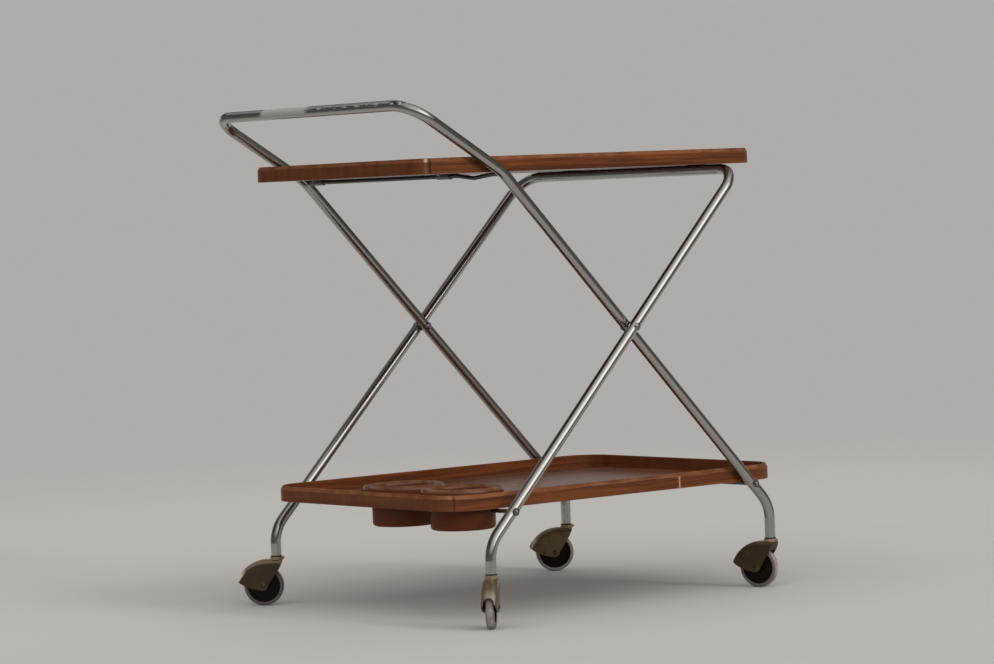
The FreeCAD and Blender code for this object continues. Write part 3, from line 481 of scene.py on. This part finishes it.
def edging_figure(sheet, shade, light, dark):
    """Cross bands in the edging at the trays' ends, and a painted sheen and nicks along its bevel.
    """
    place = sheet.place()
    across, _, up = sheet.normal()
    ends = sheet.ramp(sheet.math("ABSOLUTE", across), 0.45, 0.85)
    bands = sheet.noise(sheet.stretched(place, 20.0, 75.0, 5.0), 1.0, 3.0, 0.55)
    middle = tuple((a + b) / 2 for a, b in zip(light, dark))
    shade = sheet.blend(sheet.times(ends, 0.6), shade, middle)
    pale = sheet.times(sheet.ramp(bands, 0.52, 0.66), 0.42)
    shade = sheet.blend(sheet.times(ends, pale), shade, light)
    deep = sheet.times(sheet.ramp(bands, 0.46, 0.36), 0.38)
    shade = sheet.blend(sheet.times(ends, deep), shade, dark)
    # Painted sheen: the bevel that faces up is made paler in patches, for the light it catches.
    bevel = sheet.times(sheet.ramp(up, 0.2, 0.4), sheet.ramp(up, 0.97, 0.9))
    pale_share = sheet.ramp(sheet.noise(place, 38.0, 6.0, 0.65), 0.36, 0.62, 0.1, 0.65)
    shade = sheet.blend(sheet.times(bevel, pale_share), shade, BEVEL_SHEEN)
    nicks = sheet.noise(sheet.stretched(place, 170.0, 170.0, 420.0), 1.0, 5.0, 0.7)
    nicks = sheet.times(sheet.ramp(nicks, 0.655, 0.70), sheet.ramp(up, 0.1, 0.3))
    return sheet.blend(nicks, shade, DARK_NICK)


def joint_marks(sheet, shade, rim, bareness):
    """Dark line along a rim's butt joint, and a bare edge on its handle side."""
    low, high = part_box(rim)
    middle = Vector((low[0] + RIM_CORNER, low[1] + RIM_CORNER, 0))
    outward = Vector((math.cos(JOINT_ANGLE), math.sin(JOINT_ANGLE), 0))
    around = Vector((-outward.y, outward.x, 0))
    place = sheet.place()
    off = sheet.minus(sheet.dot(place, around), middle.dot(around))
    reach = middle.dot(outward) + JOINT_REACH
    outside = sheet.math("GREATER_THAN", sheet.dot(place, outward), reach)
    line = sheet.ramp(sheet.math("ABSOLUTE", off), *JOINT_EDGE, 0.0, 0.5)
    shade = sheet.blend(sheet.times(line, outside), shade, JOINT_LINE)
    ragged = sheet.times(sheet.noise(place, 420.0, 4.0, 0.65), 0.0030)
    beside = sheet.plus(sheet.away(off, -BARE_EDGE_OFFSET), ragged)
    strip = sheet.times(sheet.ramp(beside, *BARE_EDGE_SPAN), outside)
    height = sheet.minus(sheet.split(place)[2], high[2])
    bare = sheet.ramp(height, *BARE_TOP_Z, 0.12 * bareness, bareness)
    bare = sheet.times(bare, sheet.ramp(height, *BARE_CREST_Z, 0.25, 1.0))
    return sheet.blend(sheet.times(strip, bare), shade, BARE_EDGE)


def chip_mask(sheet):
    """Narrow upright chip in a rim's right side, a little wider at its two ends."""
    place = sheet.place()
    x, y, z = sheet.split(place)
    low, high = CHIP_Z
    half = (high - low) / 2
    from_middle = sheet.away(z, low + half)
    flare = sheet.times(sheet.math("POWER", sheet.times(from_middle, 1 / half), 5.0), CHIP_FLARE)
    ragged = sheet.times(sheet.noise(place, 500.0, 3.0), CHIP_RAGGED)
    reach = sheet.minus(sheet.plus(flare, CHIP_HALF_WIDTH), ragged)
    mask = sheet.math("LESS_THAN", sheet.away(x, CHIP_X), reach)
    inside = sheet.math("LESS_THAN", from_middle, half)
    return sheet.times(mask, inside, sheet.math("LESS_THAN", y, RIGHT_SIDE_Y))


def moulded(name, color, roughness, grit, dust_amount=0.2, scuff=0.4, gloss=0.3,
            axle=None, grime=0.0, lip=None):
    """Moulded plastic or rubber with a fine grit.

    Given an axle's direction, it is a tyre with a tread pale from wear and this much grime on its
    sides.
    Given the heights of a lip, a highlight is painted there, and it is polished on its crown.
    """
    material, sheet, shader = new_material(name, Specular_IOR_Level=gloss)
    place = sheet.place()
    drift = sheet.noise(place, 18.0, 5.0, 0.6)
    dust = effect(sheet, "Settled dust", Amount=dust_amount, Patch_size=20.0)["Mask"]
    scuffs = effect(sheet, "Scuffs", Amount=scuff)["Mask"]
    shade = sheet.blend(drift, scaled(color, 0.72), tuple(min(1, c * 1.25) for c in color))
    if axle:
        side = sheet.dot(sheet.add("ShaderNodeTexCoord").outputs["Normal"], axle)
        tread = sheet.ramp(sheet.math("ABSOLUTE", side), 0.80, 0.35)
        patchy = sheet.ramp(sheet.noise(place, 75.0, 4.0, 0.6), 0.38, 0.62, 0.55, 1.0)
        dirty = sheet.times(sheet.math("MAXIMUM", tread, grime), patchy)
        shade = sheet.blend(dirty, shade, WORN_TREAD)
    if lip:
        # Painted highlight: the lip is made paler in patches.
        painted_lip = sheet.ramp(sheet.noise(place, 42.0, 4.0, 0.6), 0.40, 0.66, 0.15, 1.0)
        painted_lip = sheet.times(sheet.ramp(sheet.split(place)[2], *lip), painted_lip)
        shade = sheet.blend(painted_lip, shade, LIP_HIGHLIGHT)
        up = sheet.normal()[2]
        crown = sheet.times(sheet.ramp(up, 0.08, 0.25), sheet.ramp(up, 0.94, 0.78), 0.55)
        sheet.feed(shader.inputs["Coat Weight"], crown)
        shader.inputs["Coat Roughness"].default_value = 0.10
    shade = sheet.blend(scuffs, shade, tuple(min(1, c * 2.2 + 0.03) for c in color))
    shade = sheet.blend(dust, shade, PLASTIC_DUST)
    sheet.feed(shader.inputs["Base Color"], shade)
    rough = sheet.ramp(drift, 0.3, 0.7, roughness - 0.06, roughness + 0.08)
    sheet.feed(shader.inputs["Roughness"], sheet.plus(rough, sheet.times(dust, 0.3)))
    bump(sheet, shader, sheet.noise(place, 2200.0, 2.0), grit, 0.0001)
    return material


def joint_named(name):
    return next(joint for joint in frame["joints"] if joint["name"] == name)


def caster_aim(corner):
    """Foot of a caster's swivel axis, and the level direction in which its hood points."""
    swivel = Vector(joint_named("swivel_" + corner)["pos_m"])
    aim = Vector(joint_named("roll_" + corner)["pos_m"]) - swivel
    aim.z = 0
    return swivel, aim.normalized()


def tarnished(name, corner, color, tarnish):
    """Brassy plating on a caster's hood: tarnished, with a painted highlight along its crown and at
    its nose.
    """
    age = CASTERS[corner]
    spread = 0.5 * age["tarnish"]
    material, sheet, shader = new_material(name, metallic=1.0)
    place = sheet.place()
    up = sheet.normal()[2]
    cloud = sheet.ramp(sheet.noise(place, 34.0, 8.0, 0.68), 0.12 + spread, 0.44 + spread)
    spots = sheet.ramp(sheet.noise(place, 420.0, 4.0, 0.6), 0.60, 0.70)
    pits = effect(sheet, "Plating pits", Amount=0.6)["Pits"]
    dust = effect(sheet, "Settled dust", Amount=0.3, Patch_size=26.0)["Mask"]
    # Painted highlight: what faces up is made paler, more on some casters; the collar is paler
    # brass too.
    painted_crown = sheet.times(sheet.ramp(up, 0.22, 0.55), age["crown_highlight"])
    collar = sheet.ramp(sheet.split(place)[2], *COLLAR_FOOT_Z)
    pale_share = sheet.math("MAXIMUM", painted_crown, sheet.times(collar, 0.8))
    swivel, aim = caster_aim(corner)
    reach = sheet.minus(sheet.dot(place, aim), swivel.dot(aim))
    # Painted highlight at the nose, on the part that faces up.
    nose = sheet.times(sheet.ramp(reach, *NOSE_REACH), sheet.ramp(up, 0.12, 0.34), age["nose_highlight"])
    shade = sheet.blend(cloud, tarnish, color)
    shade = sheet.blend(pale_share, shade, COLLAR_AND_SHEEN_BRASS)
    shade = sheet.blend(sheet.times(spots, 0.6), shade, tarnish)
    shade = sheet.blend(pits, shade, BRASS_PIT)
    shade = sheet.blend(dust, shade, BRASS_DUST)
    shade = sheet.blend(nose, shade, NOSE_GLINT)
    sheet.feed(shader.inputs["Base Color"], shade)
    rough = sheet.ramp(cloud, 0.0, 1.0, 0.52, 0.30)
    sheet.feed(shader.inputs["Roughness"], sheet.plus(rough, sheet.times(dust, 0.4)))
    metal = sheet.ramp(cloud, 0.0, 1.0, 0.45, 0.80)
    sheet.feed(shader.inputs["Metallic"], sheet.minus(metal, sheet.times(collar, 0.25)))
    bump(sheet, shader, sheet.noise(place, 300.0, 6.0, 0.7), 0.08, 0.0005)
    return material


def finish_node(node, material):
    """Gives a CAD node its finished material."""
    mesh = frame["nodes"][node].data
    mesh.materials.clear()
    mesh.materials.append(material)
    for face in mesh.polygons:
        face.material_index = 0


def finish_nodes(beginnings, material):
    """Gives this material to the CAD nodes whose names begin with any of these."""
    for node in frame["nodes"]:
        if node.startswith(beginnings):
            finish_node(node, material)


# ---- Operators ----
class FinishFrames(bpy.types.Operator):
    """Plates the two tube frames"""
    bl_idname = "trolley.finish_frames"
    bl_label = "Finish frames"

    def execute(self, context):
        finish = context.scene.trolley_finish
        color = tuple(finish.plate_color)
        finish_node("handle_frame", plating(
            "Handle frame plating", color, finish.plate_wear, 0.13, worn_grip=True))
        finish_node("table_frame", plating("Table frame plating", color, finish.plate_wear, 0.13))
        return {"FINISHED"}


class FinishFittings(bpy.types.Operator):
    """Finishes the rods, clips, hooks, screws and pivots"""
    bl_idname = "trolley.finish_fittings"
    bl_label = "Finish fittings"

    def execute(self, context):
        color = tuple(context.scene.trolley_finish.plate_color)
        # The hinge wire's plating is darkened to a quarter: painted shade under the top tray.
        finish_node("top_tray_hinge_wire", plating("Wire plating in painted shade", scaled(color, 0.24), 0.5, 0.30))
        finish_nodes(("lower_tray_hinge_rod", "lower_tray_rest_peg"),
                     plating("Rod plating", scaled(color, 0.50), 0.5, 0.20))
        finish_nodes(("top_tray_clip", "lower_tray_clip", "top_tray_hook"),
                     plating("Strip steel", scaled(color, 0.38), 0.6, 0.34))
        finish_nodes(("top_tray_clip_screws", "lower_tray_clip_screws", "top_tray_hook_screws",
                      "pivot", "caster_pintle"),
                     plating("Rivet and screw steel", scaled(color, 0.62), 0.5, 0.26))
        return {"FINISHED"}


class FinishTrays(bpy.types.Operator):
    """Gives the trays their wood-grain laminate and edging"""
    bl_idname = "trolley.finish_trays"
    bl_label = "Finish trays"

    def execute(self, context):
        finish = context.scene.trolley_finish
        dust = finish.dust_amount
        finish_nodes(("top_tray_panel", "lower_tray_panel"),
                     wood("Tray laminate", finish, 0.26, 0.35, dust))
        finish_node("top_tray_rim", wood(
            "Top tray edging", finish, 0.46, 0.05, dust * 0.6, rim="top_tray_rim", bare_joint=1.0))
        finish_node("lower_tray_rim", wood(
            "Lower tray edging", finish, 0.46, 0.05, dust * 0.6, rim="lower_tray_rim",
            bare_joint=0.12, chipped=True))
        return {"FINISHED"}


class FinishHolders(bpy.types.Operator):
    """Finishes the moulded bottle holders"""
    bl_idname = "trolley.finish_holders"
    bl_label = "Finish bottle holders"

    def execute(self, context):
        color = tuple(context.scene.trolley_finish.holder_color)
        finish_nodes(("bottle_holder",), moulded(
            "Bottle holder plastic", color, 0.40, 0.05, dust_amount=0.05, scuff=0.1, gloss=0.16,
            lip=HOLDER_LIP_Z))
        return {"FINISHED"}


class FinishCasters(bpy.types.Operator):
    """Finishes the casters' hoods, wheels and sockets"""
    bl_idname = "trolley.finish_casters"
    bl_label = "Finish casters"

    def execute(self, context):
        finish = context.scene.trolley_finish
        finish_nodes(("caster_wheel",), moulded(
            "Wheel disc plastic", tuple(finish.disc_color), 0.42, 0.08, dust_amount=0.03,
            scuff=0.05, gloss=0.12))
        finish_nodes(("caster_socket",), moulded("Socket plastic", SOCKET_BLACK, 0.5, 0.1))
        finish_nodes(("caster_axle",), plating("Axle steel", AXLE_STEEL, 0.5, 0.40))
        for corner, age in CASTERS.items():
            label = corner.replace("_", " ")
            finish_node("caster_hood_" + corner, tarnished(
                "Hood plating " + label, corner, tuple(finish.hood_color),
                tuple(finish.hood_tarnish)))
            finish_node("caster_tyre_" + corner, moulded(
                "Tyre rubber " + label, tuple(finish.tyre_color), 0.62, 0.25, dust_amount=0.15,
                scuff=0.2, axle=tuple(joint_named("roll_" + corner)["axis"]), grime=age["grime"]))
        return {"FINISHED"}


class BuildStage(bpy.types.Operator):
    """Builds the floor, the studio light and the camera"""
    bl_idname = "trolley.build_stage"
    bl_label = "Build stage"

    def execute(self, context):
        settings = context.scene.trolley_stage
        make_floor(settings)
        make_world(settings)
        make_light("Key light", *KEY_LAMP, settings.key_strength)
        make_light("Fill light", *FILL_LAMP, settings.fill_strength)
        make_light("Back light", *BACK_LAMP, settings.back_strength)
        make_camera(settings)
        return {"FINISHED"}


# ---- Studio ----
def make_floor(settings):
    """Wide plain floor that fades into the backdrop ahead and into the room elsewhere."""
    mesh = bpy.data.meshes.new("studio_floor")
    shape = bmesh.new()
    bmesh.ops.create_grid(shape, x_segments=4, y_segments=4, size=40)
    shape.to_mesh(mesh)
    shape.free()
    floor = bpy.data.objects.new("studio_floor", mesh)
    bpy.context.scene.collection.objects.link(floor)
    material, sheet, shader = new_material("Studio floor", Roughness=1.0, Specular_IOR_Level=0.0)
    place = sheet.place()
    color = tuple(settings.floor_color)
    drift = sheet.noise(place, 1.2, 5.0, 0.6)
    shade = sheet.blend(drift, scaled(color, 0.96), scaled(color, 1.03))
    _, ahead = ahead_of_camera(sheet, sheet.vector("NORMALIZE", place)[0], settings)
    horizon = sheet.blend(ahead, tuple(settings.room_color), tuple(settings.backdrop_color))
    distance = sheet.vector("LENGTH", place)["Value"]
    faded = sheet.ramp(distance, settings.fade_start, settings.fade_end)
    sheet.feed(shader.inputs["Base Color"], sheet.blend(faded, shade, (0, 0, 0)))
    sheet.feed(shader.inputs["Emission Color"], sheet.blend(faded, (0, 0, 0), horizon))
    shader.inputs["Emission Strength"].default_value = 1.0
    mesh.materials.append(material)


def ahead_of_camera(sheet, direction, settings):
    """How far a direction points along the view, and the soft edge of the backdrop's sector."""
    x, y, _ = sheet.split(direction)
    across = sheet.times(x, math.cos(settings.camera_yaw))
    along = sheet.times(y, math.sin(settings.camera_yaw))
    forward = sheet.plus(across, along)
    return forward, sheet.ramp(forward, 0.55, 0.85)


def make_world(settings):
    """Studio room: a pale backdrop ahead, a glow with a window in front, and dim elsewhere."""
    world = bpy.data.worlds.new("Studio")
    world.use_nodes = True
    world.node_tree.nodes.clear()
    sheet = NodeSheet(world.node_tree)
    direction = sheet.add("ShaderNodeTexCoord").outputs["Generated"]
    x, _, z = sheet.split(direction)
    forward, ahead = ahead_of_camera(sheet, direction, settings)
    facing = sheet.dot(direction, WINDOW_TOWARD)
    above = sheet.times(sheet.ramp(z, 0.11, 0.29), sheet.ramp(x, 0.80, 0.42))
    front = sheet.times(sheet.ramp(facing, -0.1, 0.95), above)
    behind = sheet.times(sheet.ramp(forward, 0.15, 0.45), sheet.ramp(z, 0.42, 0.58),
                         sheet.ramp(z, 0.66, 0.78, 0.42, 0.0))
    low, glow = tuple(settings.room_color), tuple(settings.glow_color)
    room = sheet.blend(sheet.ramp(z, 0.22, 0.50), low, scaled(low, 0.45))
    room = sheet.blend(sheet.math("MAXIMUM", front, behind), room, glow)
    window = sheet.times(sheet.ramp(facing, 0.875, 0.985), above)
    room = sheet.blend(window, room, scaled(glow, settings.window_strength), "ADD")
    pale = sheet.times(ahead, sheet.ramp(z, 0.10, 0.28, 1.0, 0.0))
    color = sheet.blend(pale, room, tuple(settings.backdrop_color))
    shader = sheet.add("ShaderNodeBackground", {"Color": color, "Strength": 1.0})
    sheet.add("ShaderNodeOutputWorld", {"Surface": shader.outputs[0]})
    bpy.context.scene.world = world


def make_light(name, toward, spread, strength):
    """Broad light from one direction. Metal mirrors the world's glow instead of it."""
    lamp = bpy.data.lights.new(name, "SUN")
    lamp.energy = strength
    lamp.angle = math.radians(spread)
    light = bpy.data.objects.new(name, lamp)
    light.location = toward
    light.rotation_euler = Vector(toward).to_track_quat("Z", "Y").to_euler()
    light.visible_glossy = False
    bpy.context.scene.collection.objects.link(light)


def make_camera(settings):
    """Camera with its place, view and roll."""
    yaw, pitch, roll = settings.camera_yaw, settings.camera_pitch, settings.camera_roll
    run = math.cos(pitch)
    ahead = Vector((run * math.cos(yaw), run * math.sin(yaw), -math.sin(pitch)))
    level = Vector((math.sin(yaw), -math.cos(yaw), 0))
    upright = level.cross(ahead)
    right = math.cos(roll) * level - math.sin(roll) * upright
    up = math.sin(roll) * level + math.cos(roll) * upright
    turn = Matrix((right, up, -ahead)).transposed()
    lens = bpy.data.cameras.new("Camera")
    lens.sensor_fit = "HORIZONTAL"
    lens.sensor_width = 36
    lens.lens = settings.focal_length
    lens.clip_start = 0.1
    lens.clip_end = 100
    camera = bpy.data.objects.new("Camera", lens)
    camera.matrix_world = Matrix.Translation(Vector(settings.camera_place)) @ turn.to_4x4()
    scene = bpy.context.scene
    scene.collection.objects.link(camera)
    scene.camera = camera
    scene.view_settings.view_transform = "Standard"


# ---- Panel and registration ----
class TrolleyPanel(bpy.types.Panel):
    """Lists the trolley's steps and settings"""
    bl_idname = "VIEW3D_PT_trolley"
    bl_label = "Serving Trolley"
    bl_space_type = "VIEW_3D"
    bl_region_type = "UI"
    bl_category = "Trolley"

    def draw(self, context):
        for operator in OPERATORS:
            self.layout.operator(operator.bl_idname)
        for settings in (context.scene.trolley_finish, context.scene.trolley_stage):
            box = self.layout.box()
            for name in settings.__annotations__:
                box.prop(settings, name)


OPERATORS = (FinishFrames, FinishFittings, FinishTrays, FinishHolders, FinishCasters, BuildStage)
CLASSES = (TrolleyFinish, TrolleyStage, *OPERATORS, TrolleyPanel)


def register():
    for entry in CLASSES:
        bpy.utils.register_class(entry)
    bpy.types.Scene.trolley_finish = bpy.props.PointerProperty(type=TrolleyFinish)
    bpy.types.Scene.trolley_stage = bpy.props.PointerProperty(type=TrolleyStage)


def unregister():
    del bpy.types.Scene.trolley_stage
    del bpy.types.Scene.trolley_finish
    for entry in reversed(CLASSES):
        bpy.utils.unregister_class(entry)


def main():
    """Builds everything."""
    register()
    for operator in OPERATORS:
        group, name = operator.bl_idname.split(".")
        getattr(getattr(bpy.ops, group), name)()


if __name__ == "__main__":
    main()
